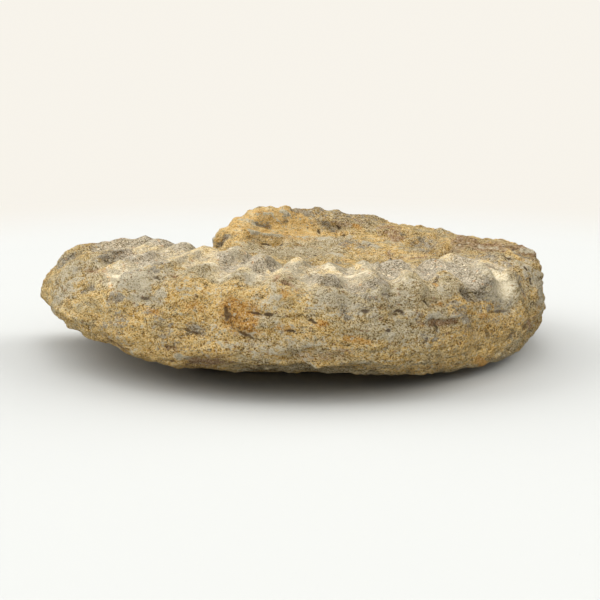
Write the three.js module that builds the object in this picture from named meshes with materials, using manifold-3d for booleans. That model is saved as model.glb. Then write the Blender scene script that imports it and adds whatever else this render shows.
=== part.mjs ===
// Ammonite fossil: the flat-coiled, ribbed shell of an extinct sea animal, turned to sandy
// limestone and lying on its side. Shell and matrix have grown into one stone, so it is one solid.
//
// The coil is a logarithmic spiral about a vertical axis. Its last turn ends in a broken mouth on
// the left (-X) and winds back from there past the front (-Y), the right and the back. Inside it
// two smaller turns show through a dish of matrix, and a hump of matrix sits on the back left.
// Millimetres, +Z up. The origin is the middle of the stone's footprint box, on its rest face.

import * as THREE from "three";
import { ImprovedNoise } from "three/addons/math/ImprovedNoise.js";
import { mergeVertices } from "three/addons/utils/BufferGeometryUtils.js";
import Module from "manifold-3d";

const wasm = await Module();
wasm.setup();

// ---------------------------------------------------------------- driving dimensions
const MOUTH_RADIUS = 136; // coil axis to the outer rim at the mouth
const MOUTH_BEARING = 182; // degrees anticlockwise from +X, seen from above
const GROWTH_PER_TURN = 2; // how many times wider the shell gets in one turn
const WHORL_SHARE = 0.52; // height of a whorl across the coil, as a share of its outer radius
const MIDDLE = 22; // height of the coil's middle plane above the rest face

// The last turn's section, by degrees wound back from the mouth. Heights are above the rest face:
// crest is the edge round the umbilicus, shoulder the edge where flank meets rim, keel the middle
// of the rim, heel the lower shoulder, and sole the lowest edge, cut off where it is under 0.
// The insets say how far shoulder and heel lie in from the rim, as shares of the whorl's height.
const SECTIONS = [
  { back: 0, crest: 46, shoulder: 39, keel: 22, heel: 13, sole: 4, shoulderIn: 0.145, heelIn: 0.22 },
  { back: 22, crest: 47, shoulder: 41, keel: 21, heel: 11, sole: 2, shoulderIn: 0.145, heelIn: 0.235 },
  { back: 44, crest: 47, shoulder: 41, keel: 20, heel: 8, sole: 0, shoulderIn: 0.135, heelIn: 0.22 },
  { back: 66, crest: 46, shoulder: 41, keel: 20, heel: 8, sole: -1, shoulderIn: 0.125, heelIn: 0.18 },
  { back: 86, crest: 44, shoulder: 41, keel: 20, heel: 8, sole: -1, shoulderIn: 0.12, heelIn: 0.16 },
  { back: 135, crest: 44, shoulder: 40, keel: 20, heel: 5, sole: -3, shoulderIn: 0.12, heelIn: 0.12 },
  { back: 178, crest: 43, shoulder: 40, keel: 21, heel: 3, sole: -3, shoulderIn: 0.1, heelIn: 0.1 },
  { back: 200, crest: 42, shoulder: 38, keel: 20, heel: 5, sole: -2, shoulderIn: 0.12, heelIn: 0.125 },
  { back: 235, crest: 44, shoulder: 41, keel: 21, heel: 7, sole: -2, shoulderIn: 0.125, heelIn: 0.145 },
  { back: 268, crest: 49, shoulder: 44, keel: 23, heel: 8, sole: -3, shoulderIn: 0.145, heelIn: 0.16 },
  { back: 300, crest: 47, shoulder: 42, keel: 23, heel: 9, sole: -3, shoulderIn: 0.18, heelIn: 0.18 },
  { back: 325, crest: 43, shoulder: 36, keel: 20, heel: 10, sole: 2, shoulderIn: 0.27, heelIn: 0.18 },
  { back: 350, crest: 39, shoulder: 32, keel: 20, heel: 14, sole: 10, shoulderIn: 0.27, heelIn: 0.18 },
];

// Rib crests, by degrees wound back. The mouth broke off halfway between the first two, the next
// ones are unevenly spaced, and from the last of them the ribs go on at an even spacing.
const RIB_CRESTS = [-8, 8, 22, 34, 44, 55, 66, 76.5, 86, 96.5, 106.5, 115.5, 126.5, 137];
const RIB_SPACING = 9.8;
const RIB_HEIGHT = 6; // crest above hollow at the mouth
const RIB_SHARPNESS = 1.4; // above 1 the crests are narrower than the hollows
const WORN_RIBS = { from: 150, to: 250, share: 0.55 }; // ribs fade to this share at the back


// Matrix in the umbilicus: a dish a little off the coil's axis, tilted up to the left and back.
const DISH = { x: -4, y: -3, radius: 62, middle: 29, rim: 39, under: 9, underRim: 3 };
const DISH_TILT = { left: 3, back: 3 }; // degrees
const HUMP = { x: -37, y: 39, spread: 23, height: 10 }; // matrix piled on the back left

const LUMP = { size: 34, depth: 1.4 }; // broad unevenness of the whole stone
const KNOBS = { size: 11, depth: 0.8 }; // smaller unevenness on top of it

// ---------------------------------------------------------------- the coil
const radians = THREE.MathUtils.degToRad;
const { lerp, smoothstep } = THREE.MathUtils;
const perlin = new ImprovedNoise();

// Outer radius of the coil at so many degrees wound back from the mouth.
function rimRadius(back) {
  return MOUTH_RADIUS * GROWTH_PER_TURN ** (-back / 360);
}

// Degrees wound back at a rib number: whole numbers are crests, halves the hollows between them.
function backAt(rib) {
  const last = RIB_CRESTS.length - 1;
  if (rib >= last) return RIB_CRESTS[last] + (rib - last) * RIB_SPACING;
  const before = Math.floor(rib);
  return lerp(RIB_CRESTS[before], RIB_CRESTS[before + 1], rib - before);
}

// The section at any angle: eased between the rows of the last turn, and on the inner turns
// shrinking with the coil towards its middle plane.
function sectionAt(back) {
  const within = Math.min(back, SECTIONS.at(-1).back);
  const next = Math.max(1, SECTIONS.findIndex((row) => row.back >= within));
  const [a, b] = [SECTIONS[next - 1], SECTIONS[next]];
  const mix = (name) => lerp(a[name], b[name], smoothstep(within, a.back, b.back));
  const shrink = rimRadius(back) / rimRadius(within);
  const height = (name) => lerp(MIDDLE, mix(name), shrink);
  return {
    crest: height("crest"),
    shoulder: height("shoulder"),
    keel: height("keel"),
    heel: height("heel"),
    sole: height("sole"),
    shoulderIn: mix("shoulderIn"),
    heelIn: mix("heelIn"),
  };
}

// How far the ribs stand out: below 0 in a hollow, above 0 on a crest.
function ribPush(rib) {
  const back = backAt(rib);
  const wave = (0.5 + 0.5 * Math.cos(2 * Math.PI * rib)) ** RIB_SHARPNESS - 0.4;
  const worn = lerp(1, WORN_RIBS.share, smoothstep(back, WORN_RIBS.from, WORN_RIBS.to));
  return (RIB_HEIGHT * wave * worn * rimRadius(back)) / MOUTH_RADIUS;
}

// ---------------------------------------------------------------- whorls
// The section's outline, inside edge first: depth inwards from the rim as a share of the whorl's
// height, height above the rest face, and how strongly the ribs show there. Each rib swells
// twice, at the crest and halfway down the flank. An upper half stops at the middle of the rim.
function outline({ crest, shoulder, keel, heel, sole, shoulderIn, heelIn }, upperHalf) {
  const upper = [
    [1, (crest + sole) / 2, 0],
    [0.8, crest - 3, 0.7],
    [0.68, crest, 1],
    [lerp(0.68, shoulderIn, 0.3), lerp(crest, shoulder, 0.35) - 0.3, 0.6],
    [lerp(0.68, shoulderIn, 0.6), lerp(crest, shoulder, 0.6) + 1, 1],
    [shoulderIn, shoulder, 0.7],
    [shoulderIn * 0.3, lerp(shoulder, keel, 0.45), 0.35],
    [0, keel, 0.15],
  ];
  const lower = [
    [heelIn * 0.35, lerp(keel, heel, 0.6), 0.1],
    [heelIn, heel, 0.1],
    [0.55, sole, 0],
    [0.85, sole + 1, 0],
  ];
  return upperHalf ? upper : [...upper, ...lower];
}

function ringPoint(back, radius, height) {
  const bearing = radians(MOUTH_BEARING + back);
  return [radius * Math.cos(bearing), radius * Math.sin(bearing), height];
}

// One ring of points round the whorl at a rib number, drawn in towards its middle by a share.
function ring(rib, upperHalf, drawnIn = 0) {
  const back = backAt(rib);
  const rim = rimRadius(back);
  const section = sectionAt(back);
  const middle = { radius: rim * (1 - WHORL_SHARE / 2), height: (section.crest + section.sole) / 2 };
  return outline(section, upperHalf).map(([inset, height, ribbed]) => {
    const out = new THREE.Vector2(rim * (1 - WHORL_SHARE * inset) - middle.radius, height);
    out.y -= middle.height;
    out.setLength((out.length() + ribPush(rib) * ribbed) * (1 - drawnIn));
    return ringPoint(back, middle.radius + out.x, middle.height + out.y);
  });
}

// A closed length of whorl between two rib numbers, each end closed by a cap of two rings. The
// cap at the mouth bulges a little, because the matrix broke off unevenly there.
function whorl({ from, to, stepsPerRib, upperHalf }) {
  const rings = [ring(from - 0.2, upperHalf, 1), ring(from - 0.15, upperHalf, 0.5)];
  const steps = Math.round((to - from) * stepsPerRib);
  for (let s = 0; s <= steps; s += 1) rings.push(ring(lerp(from, to, s / steps), upperHalf));
  rings.push(ring(to, upperHalf, 0.5), ring(to, upperHalf, 1));
  const count = rings[0].length;
  const index = [];
  for (let s = 0; s < rings.length - 1; s += 1) {
    for (let i = 0; i < count; i += 1) {
      const [a, b] = [s * count + i, s * count + ((i + 1) % count)];
      index.push(a, b, a + count, b, b + count, a + count);
    }
  }
  const geometry = new THREE.BufferGeometry().setIndex(index);
  geometry.setAttribute("position", new THREE.Float32BufferAttribute(rings.flat(2), 3));
  return solidOf(geometry);
}

// ---------------------------------------------------------------- matrix
// The stone that fills the umbilicus: a disc with a dished top, a hollow underside and a bevelled
// edge that stays inside the whorl.
function matrix() {
  const { radius, middle, rim, under, underRim } = DISH;
  const profile = [
    ...[0, 0.3, 0.6, 0.9].map((share) => [share, lerp(under, underRim, share ** 2)]),
    [1, MIDDLE],
    ...[0.85, 0.65, 0.45, 0.25, 0].map((share) => [share, lerp(middle, rim, share)]),
  ].map(([share, height]) => new THREE.Vector2(radius * share, height));
  const disc = new THREE.LatheGeometry(profile, 28).rotateX(Math.PI / 2);
  disc.rotateY(radians(DISH_TILT.left)).rotateX(radians(DISH_TILT.back));
  return solidOf(disc.translate(DISH.x, DISH.y, 0));
}

// ---------------------------------------------------------------- weathering
// Smooth unevenness, the same for the same point, so neighbouring points move together.
function uneven(point, { size, depth }) {
  const [x, y, z] = point.clone().divideScalar(size).toArray();
  return new THREE.Vector3(
    perlin.noise(x, y, z),
    perlin.noise(y + 19, z + 7, x + 3),
    perlin.noise(z + 31, x + 11, y + 5),
  ).multiplyScalar(2 * depth);
}

// The upper side raised into the hump, and the whole surface made uneven.
function weathered(geometry) {
  const points = geometry.attributes.position;
  for (let i = 0; i < points.count; i += 1) {
    const point = new THREE.Vector3().fromBufferAttribute(points, i);
    const off = Math.hypot(point.x - HUMP.x, point.y - HUMP.y) / HUMP.spread;
    const lift = HUMP.height * Math.exp(-off * off) * smoothstep(point.z, MIDDLE, MIDDLE + 20);
    const moved = point.clone().add(uneven(point, LUMP)).add(uneven(point, KNOBS));
    points.setXYZ(i, moved.x, moved.y, moved.z + lift);
  }
  return geometry;
}

// ---------------------------------------------------------------- solids
function solidOf(geometry) {
  const bare = geometry.clone();
  for (const name of ["normal", "uv"]) bare.deleteAttribute(name);
  const merged = mergeVertices(bare);
  return new wasm.Manifold(
    new wasm.Mesh({
      numProp: 3,
      vertProperties: merged.attributes.position.array,
      triVerts: new Uint32Array(merged.index.array),
    }),
  );
}

function geometryOf(solid) {
  const { vertProperties, triVerts } = solid.getMesh();
  return new THREE.BufferGeometry()
    .setAttribute("position", new THREE.BufferAttribute(vertProperties, 3))
    .setIndex(new THREE.BufferAttribute(triVerts, 1));
}

function stone() {
  const lastTurn = whorl({ from: 0.5, to: 35.5, stepsPerRib: 6, upperHalf: false });
  const innerTurn = whorl({ from: 34.5, to: 70.5, stepsPerRib: 3, upperHalf: true });
  const core = whorl({ from: 69.5, to: 100.5, stepsPerRib: 1, upperHalf: true });
  const joined = matrix().add(lastTurn).add(innerTurn).add(core);
  const aboveRest = solidOf(new THREE.BoxGeometry(400, 400, 100).translate(0, 0, 50));
  return geometryOf(solidOf(weathered(geometryOf(joined))).intersect(aboveRest));
}

const geometry = stone();
geometry.computeBoundingBox();
const centre = geometry.boundingBox.getCenter(new THREE.Vector3());
geometry.translate(-centre.x, -centre.y, 0);

const ammonite = new THREE.Mesh(
  geometry,
  new THREE.MeshStandardMaterial({ color: 0xa89878, roughness: 0.95, metalness: 0 }),
);
ammonite.name = "ammonite";
const group = new THREE.Group();
group.add(ammonite);
export default group;
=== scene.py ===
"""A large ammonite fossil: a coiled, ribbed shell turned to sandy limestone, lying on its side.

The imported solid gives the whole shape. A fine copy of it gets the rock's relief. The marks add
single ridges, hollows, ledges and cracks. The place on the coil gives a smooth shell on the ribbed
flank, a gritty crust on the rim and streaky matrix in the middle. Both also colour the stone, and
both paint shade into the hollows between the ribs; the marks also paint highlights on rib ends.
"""
import math
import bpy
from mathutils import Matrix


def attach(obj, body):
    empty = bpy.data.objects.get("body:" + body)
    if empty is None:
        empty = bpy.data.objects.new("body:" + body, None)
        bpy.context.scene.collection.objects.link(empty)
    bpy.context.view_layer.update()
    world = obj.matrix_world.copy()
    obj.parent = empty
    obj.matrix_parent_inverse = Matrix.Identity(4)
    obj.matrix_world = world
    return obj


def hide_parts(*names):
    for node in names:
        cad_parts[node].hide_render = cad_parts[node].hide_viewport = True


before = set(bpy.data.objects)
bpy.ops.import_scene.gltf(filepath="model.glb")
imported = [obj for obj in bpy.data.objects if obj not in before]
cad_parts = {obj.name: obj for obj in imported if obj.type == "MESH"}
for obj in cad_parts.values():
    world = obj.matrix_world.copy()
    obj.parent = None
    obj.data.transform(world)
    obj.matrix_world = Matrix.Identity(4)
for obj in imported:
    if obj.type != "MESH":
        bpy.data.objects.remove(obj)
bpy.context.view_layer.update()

from types import SimpleNamespace

import bpy
import numpy as np
from bpy.props import FloatProperty, FloatVectorProperty, IntProperty, PointerProperty
from mathutils import Matrix, Vector, noise

bl_info = {
    "name": "Ammonite Fossil",
    "version": (1, 0, 0),
    "blender": (4, 5, 0),
    "location": "View3D > Sidebar > Fossil",
    "description": "Builds a weathered, ribbed ammonite stone and its studio stage",
    "category": "Add Mesh",
}

# ---------------------------------------------------------------- the coil, as in the solid
COIL_AXIS = (0.01934, 0.01716)
MOUTH_RADIUS = 0.136
MOUTH_BEARING = 182.0
GROWTH_PER_TURN = 2.0
WHORL_SHARE = 0.52
RIB_CRESTS = (-8, 8, 22, 34, 44, 55, 66, 76.5, 86, 96.5, 106.5, 115.5, 126.5, 137)
RIB_SPACING = 9.8


def coil_places(points):
    """Where each point lies on the coil: degrees wound back, inset from the rim, rib number."""
    x = points[:, 0] - COIL_AXIS[0]
    y = points[:, 1] - COIL_AXIS[1]
    radius = np.maximum(np.hypot(x, y), 0.002)
    back = (np.degrees(np.arctan2(y, x)) - MOUTH_BEARING) % 360
    rim = MOUTH_RADIUS * GROWTH_PER_TURN ** (-back / 360)
    turn = np.clip(np.floor(np.log(rim / radius) / math.log(GROWTH_PER_TURN)), 0, 3)
    back = back + 360 * turn
    rim = rim * GROWTH_PER_TURN**-turn
    inset = (rim - radius) / (WHORL_SHARE * rim)
    last = len(RIB_CRESTS) - 1
    rib = np.interp(back, RIB_CRESTS, range(last + 1))
    rib = np.where(back > RIB_CRESTS[-1], last + (back - RIB_CRESTS[-1]) / RIB_SPACING, rib)
    return back, inset, rib


def ease(value, low, high):
    """0 up to low, 1 from high on, and a smooth rise between them."""
    share = np.clip((value - low) / (high - low), 0, 1)
    return share * share * (3 - 2 * share)


def between(value, low, high, soft):
    """1 from low to high, easing off to 0 over soft on both sides."""
    return ease(value, low - soft, low) * (1 - ease(value, high, high + soft))


def cloudy(points, size, seed=0.0, octaves=3):
    """Smooth noise from about -1 to 1 at each point, with lumps of the given size."""
    offset = Vector((seed, seed * 1.7, -seed))
    return np.array(
        [noise.fractal(Vector(p) / size + offset, 0.8, 2.1, octaves) for p in points.tolist()]
    )


# ---------------------------------------------------------------- settings
def colour_property(name, description, colour):
    return FloatVectorProperty(
        name=name, description=description, subtype="COLOR", default=colour, min=0, max=1
    )


class StoneSettings(bpy.types.PropertyGroup):
    grain: FloatProperty(
        name="Mesh grain",
        description="Edge length of the stone's fine mesh",
        default=0.0007,
        unit="LENGTH",
    )
    most_triangles: IntProperty(
        name="Most triangles",
        description="The fine mesh is thinned to this many triangles",
        default=196000,
    )
    crust: colour_property("Crust", "Sandy tan of the rim", (0.55, 0.362, 0.112))
    ochre: colour_property("Ochre", "Iron-stained sand", (0.724, 0.45, 0.122))
    amber: colour_property("Amber", "Smooth golden layers on the bump", (0.84, 0.545, 0.185))
    grey: colour_property("Grey", "Grey sand of the matrix", (0.465, 0.372, 0.197))
    shell: colour_property("Shell", "Smooth warm grey of the ribs", (0.368, 0.315, 0.21))
    # also the painted highlights that the pale marks lay on crests, rib ends and edges
    cream: colour_property("Cream", "Worn shell, pale grit and layers", (0.60, 0.515, 0.345))
    rust: colour_property("Rust", "Orange stains", (0.56, 0.28, 0.055))
    # also painted shadow along the foot and painted shade in hollows of the front crust
    umber: colour_property("Umber", "Brown hollows and layers", (0.34, 0.195, 0.085))
    # painted shade: a darker copy of the shell colour, laid in the hollows between the ribs and on the
    # dark marks, over some real grey dirt
    shaded_grey: colour_property("Dusk", "Dark grey shell in the hollows", (0.215, 0.178, 0.118))


class StageSettings(bpy.types.PropertyGroup):
    floor_colour: colour_property("Floor", "Pale floor", (0.51, 0.515, 0.495))
    backdrop_colour: colour_property("Backdrop", "Pale background", (0.935, 0.90, 0.83))
    light: FloatProperty(name="Light", description="Strength of the overhead light", default=3.3)
    front_light: FloatProperty(
        name="Front light", description="Strength of the light on the stone's front", default=2.6
    )
    floor_light: FloatProperty(
        name="Floor light", description="Strength of the lights on the floor", default=2.5
    )
    lens: FloatProperty(name="Lens", description="Focal length in millimetres", default=70)
    distance: FloatProperty(
        name="Distance", description="Camera to target", default=0.555, unit="LENGTH"
    )
    elevation: FloatProperty(
        name="Elevation",
        description="Camera's angle above the floor",
        default=math.radians(12),
        subtype="ANGLE",
    )


# ---------------------------------------------------------------- modelling helpers
def pick(item):
    """Make one object the only selected and active one."""
    bpy.ops.object.select_all(action="DESELECT")
    item.select_set(True)
    bpy.context.view_layer.objects.active = item


def places(piece):
    flat = np.empty(len(piece.data.vertices) * 3)
    piece.data.vertices.foreach_get("co", flat)
    return flat.reshape(-1, 3)


def facing(piece):
    flat = np.empty(len(piece.data.vertices) * 3)
    piece.data.vertex_normals.foreach_get("vector", flat)
    return flat.reshape(-1, 3)


def weight_group(piece, name, weights):
    """A vertex group holding the given weights, in small steps."""
    group = piece.vertex_groups.new(name=name)
    steps = np.round(np.clip(weights, 0, 1) * 400).astype(int)
    order = np.argsort(steps, kind="stable")
    values, starts = np.unique(steps[order], return_index=True)
    for value, members in zip(values, np.split(order, starts[1:])):
        if value:
            group.add(members.tolist(), float(value) / 400, "REPLACE")
    return group.name


def raise_surface(piece, height, weights, texture=None, flat=1.0, dip=0.0):
    """Push the surface out by up to height, where weighted, following a texture if one is given.

    A flat below 1 squeezes the texture's lumps into beds, which go down to the right by dip degrees.
    """
    bpy.ops.object.select_all(action="DESELECT")
    bpy.ops.object.empty_add()
    rule = bpy.context.object
    rule.scale = (1, 1, flat)
    rule.rotation_euler.y = math.radians(dip)
    bpy.context.view_layer.update()
    pick(piece)
    bpy.ops.object.modifier_add(type="DISPLACE")
    modifier = piece.modifiers[-1]
    modifier.strength = height
    modifier.mid_level = 0.5 if texture else 0.0
    modifier.texture = texture
    modifier.texture_coords = "OBJECT"
    modifier.texture_coords_object = rule
    modifier.vertex_group = weight_group(piece, "relief", weights)
    bpy.ops.object.modifier_apply(modifier=modifier.name)
    piece.vertex_groups.clear()
    pick(rule)
    bpy.ops.object.delete()
    pick(piece)


def lump_texture(name, size, depth=2, kind="CLOUDS", hard=False):
    texture = bpy.data.textures.new(name, kind)
    texture.noise_scale = size
    if kind == "CLOUDS":
        texture.noise_depth = depth
        texture.noise_type = "HARD_NOISE" if hard else "SOFT_NOISE"
    return texture


def smooth_surface(piece, times, factor=0.5, weights=None):
    pick(piece)
    bpy.ops.object.modifier_add(type="SMOOTH")
    modifier = piece.modifiers[-1]
    modifier.factor = factor
    modifier.iterations = times
    if weights is not None:
        modifier.vertex_group = weight_group(piece, "smooth", weights)
    bpy.ops.object.modifier_apply(modifier=modifier.name)
    piece.vertex_groups.clear()


def attribute(piece, name, values):
    layer = piece.data.attributes.new(name, "FLOAT", "POINT")
    layer.data.foreach_set("value", np.clip(values, 0, 1).astype(np.float32))


# ---------------------------------------------------------------- shading helpers
def node(tree, kind, inputs=None, **settings):
    """A new shader node with its settings, and its inputs set or linked by name or number."""
    made = tree.nodes.new(kind)
    for name, value in settings.items():
        setattr(made, name, value)
    for name, value in (inputs or {}).items():
        if isinstance(value, bpy.types.NodeSocket):
            tree.links.new(value, made.inputs[name])
        else:
            made.inputs[name].default_value = value
    return made


def cloud(tree, place, scale, detail, roughness):
    return node(
        tree,
        "ShaderNodeTexNoise",
        {"Vector": place, "Scale": scale, "Detail": detail, "Roughness": roughness},
    ).outputs[0]


def grains(tree, place, scale):
    """Packed grains: a random tone for each one, and its rounded height."""
    cells = node(tree, "ShaderNodeTexVoronoi", {"Vector": place, "Scale": scale})
    tone = node(tree, "ShaderNodeSeparateColor", {"Color": cells.outputs["Color"]}).outputs[0]
    height = node(tree, "ShaderNodeMath", {0: 1.0, 1: cells.outputs["Distance"]}, operation="SUBTRACT")
    return {"tone": tone, "height": height.outputs[0]}


def stretched(tree, place, scale):
    return node(tree, "ShaderNodeMapping", {"Vector": place, "Scale": scale}).outputs[0]


def streak(tree, place, start, end, facing, width):
    """1 inside a thin lens from start to end, standing on edge along the facing direction."""
    along = (end - start).normalized()
    across = facing.cross(along).normalized()
    turn = Matrix((along, across, along.cross(across))).transposed().to_euler()
    size = ((end - start).length * 0.55 + 0.0002, 0.00065 * width, 0.004)
    lens = node(
        tree,
        "ShaderNodeMapping",
        {"Vector": place, "Location": (start + end) / 2, "Rotation": turn, "Scale": size},
        vector_type="TEXTURE",
    ).outputs[0]
    gap = node(tree, "ShaderNodeVectorMath", {0: lens}, operation="LENGTH").outputs["Value"]
    return edge(tree, gap, 1.0, 0.55)


def read(tree, name):
    return node(tree, "ShaderNodeAttribute", attribute_name=name).outputs["Fac"]


def from_crust_to_shell(tree, on_crust, on_shell):
    """One value on the crust, passing to another on the smooth shell."""
    share = read(tree, "shell")
    return node(
        tree, "ShaderNodeMapRange", {"Value": share, "To Min": on_crust, "To Max": on_shell}
    ).outputs[0]


def sums(tree, operation, a, b):
    return node(tree, "ShaderNodeMath", {0: a, 1: b}, operation=operation).outputs[0]


def total(tree, a, b):
    return sums(tree, "ADD", a, b)


def times(tree, a, b):
    return sums(tree, "MULTIPLY", a, b)


def vectors(tree, operation, a, b):
    return node(tree, "ShaderNodeVectorMath", {0: a, 1: b}, operation=operation).outputs[0]


def scaled(tree, vector, factor):
    return node(
        tree, "ShaderNodeVectorMath", {0: vector, "Scale": factor}, operation="SCALE"
    ).outputs[0]


def edge(tree, value, low, high):
    """0 up to low, 1 from high on."""
    return node(
        tree,
        "ShaderNodeMapRange",
        {"Value": value, "From Min": low, "From Max": high},
        interpolation_type="SMOOTHSTEP",
    ).outputs[0]


def ramp(tree, value, *stops):
    made = node(tree, "ShaderNodeValToRGB", {"Fac": value})
    band = made.color_ramp
    while len(band.elements) < len(stops):
        band.elements.new(0.5)
    for element, (position, colour) in zip(band.elements, stops):
        element.position = position
        element.color = (*colour, 1)
    return made.outputs["Color"]


# shades of one colour, from dark to pale: (tone, how deep the colour is, how bright it is)
SHADES = ((0.34, 1.9, 0.38), (0.42, 1.4, 0.82), (0.50, 1, 1), (0.58, 0.75, 1), (0.68, 0.5, 1))


def shades(tree, tone, colour, contrast=1.0):
    """The colour in shades that follow the tone; a contrast below 1 keeps them closer together."""
    stops = []
    for position, depth, brightness in SHADES:
        depth = 1 + (depth - 1) * contrast
        brightness = 1 + (brightness - 1) * contrast
        stops.append((position, [brightness * part**depth for part in colour]))
    return ramp(tree, tone, *stops)


def blend(tree, share, under, over):
    made = node(tree, "ShaderNodeMix", data_type="RGBA")
    for name, value in (("Factor", share), ("A", under), ("B", over)):
        socket = [s for s in made.inputs if s.name == name and s.enabled][0]
        if isinstance(value, bpy.types.NodeSocket):
            tree.links.new(value, socket)
        else:
            socket.default_value = value
    return [s for s in made.outputs if s.enabled][0]


# ---------------------------------------------------------------- the marks
# Marks on the stone: where each starts and ends, its width and how far it rises, in millimetres,
# and how strongly its finish shows, where it has one. A separate program worked out about two
# thirds of these places, now rounded to whole millimetres. The others were typed one by one.
PLAIN_MARKS = (
    # swollen inner ends of the ribs along the front, and the dips between them
    (-31, -38, 47, -28, -50, 48, 4, 1.8),
    (-24, -57, 47, -17, -47, 47, 5, -1.5),
    (-21, -46, 48, -16, -46, 45, 4.5, 3.6),
    (-13, -55, 47, -3, -50, 45, 5, 2.2),
    (-6, -47, 40, 1, -48, 40, 6, 3.6),
    (-1, -63, 47, 5, -59, 48, 4, 1.5),
    (8, -54, 41, 13, -54, 41, 5, 2.6),
    (14, -79, 43, 18, -80, 44, 4, 2),
    (21, -53, 41, 27, -54, 41, 5, 2.2),
    (25, -54, 44, 31, -54, 45, 4.5, 2),
    (37, -53, 42, 45, -51, 43, 5, 4),
    (49, -45, 46, 51, -46, 46, 3, -1.8),
    (50, -72, 44, 46, -78, 43, 2, 1.1),
    (50, -72, 44, 54, -74, 41, 2, 1.2),
    (56, -40, 42, 57, -36, 41, 3, 1.4),
    (61, -68, 43, 68, -67, 41, 4.5, 1.6),
    (62, -66, 44, 69, -57, 42, 2, 1),
    (69, -57, 42, 69, -67, 41, 2, 1),
    (71, -70, 38, 75, -68, 37, 2, 1),
    (72, -15, 44, 78, -17, 45, 6, -2.2),
    (85, -44, 42, 89, -54, 36, 4.5, -1.8),
    (87, -27, 44, 93, -33, 41, 3, 1),
    # slanting crests at the left end, overlapping like tiles
    (-99, -6, 42, -87, -8, 45, 2.5, 0.8),
    (-82, -34, 43, -76, -30, 45, 2, 1.5),
    (-76, -30, 45, -70, -24, 46, 2, 1.6),
    (-72, -6, 44, -66, -2, 46, 2, 1.4),
    (-69, -48, 45, -64, -46, 46, 2, 1.6),
    (-76, -53, 42, -71, -50, 44, 2, 1),
    (-53, -71, 41, -47, -75, 42, 2.5, 0.8),
    (-50, -62, 46, -44, -54, 47, 2, 1.3),
    # right end
    (100, -20, 42, 108, -20, 38, 7, 2),
    (96, -8, 43, 106, -8, 40, 6, 1.4),
    (109, -26, 32, 109, -26, 31, 2.5, 1.3),
    # the bump beyond the middle
    (-37, 40, 37, -36, 41, 40, 3, 2.6),
    (-36, 41, 42, -33, 41, 44, 4, 5.4),
    (-31, 39, 42, -26, 46, 47, 6, 3.4),
    # the outline against the background, a little fuller or leaner than the solid
    (-112, 9, 33, -106, -4, 38, 6, -2.6),
    (-107, -9, 36, -105, -10, 38, 4, -1.2),
    (-100, -5, 41, -95, -6, 43, 5, 1.8),
    (-83, -3, 47, -80, -2, 47, 4, 2.4),
    (-78, -2, 46, -76, -1, 46, 4, 4),
    (-58, -14, 49, -51, -16, 49, 5, 1.6),
    (-36, -43, 50, -32, -41, 49, 4, -1),
    (-2, 62, 52, 3, 68, 51, 5, 1.6),
    (-1, 64, 53, 1, 65, 53, 3, 2.4),
    (8, 69, 51, 15, 70, 51, 4, 2.4),
    (8, 66, 50, 40, 66, 46, 6, 1.2),
    (25, 71, 50, 27, 71, 50, 3, 2.6),
    (38, 73, 48, 43, 76, 46, 4, 2.6),
    (56, 75, 44, 64, 80, 43, 5, -2.4),
    (72, 75, 42, 74, 70, 43, 4, -1.4),
    (92, 41, 42, 94, 38, 42, 5, -2.2),
    (105, -1, 43, 110, -1, 41, 4, 3.6),
    (113, -8, 41, 112, -19, 40, 3, -1),
    (113, -19, 25, 114, -17, 18, 5, -1.8),
    (102, -42, 8, 105, -37, 10, 5, -2.2),
    # the outline against the floor
    (-98, -38, 23, -77, -60, 17, 8, 1.8),
    (-77, -60, 17, -42, -83, 11, 8, 1.8),
    (-36, -82, 10, -30, -84, 10, 6, -2),
    (-24, -87, 9, -4, -88, 8, 8, -3),
    (-4, -88, 8, 13, -88, 8, 8, -3.6),
    (-3, -80, 5, 9, -80, 5, 6, -4.6),
    (13, -88, 8, 33, -88, 8, 8, -3.2),
    (-20, -71, 1, 40, -71, 1, 9, -4.5),
    (43, -77, 6, 51, -78, 7, 5, 2.4),
    (67, -72, 7, 76, -66, 7, 7, 1),
    (80, -62, 5, 86, -56, 4, 6, 2.6),
    (-43, -29, 49, -41, -29, 49, 3, 1),
    (-73, -60, 13, -40, -77, 8, 5, 0.8),
    (58, -76, 7, 64, -75, 8, 4, 1.2),
)
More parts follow.
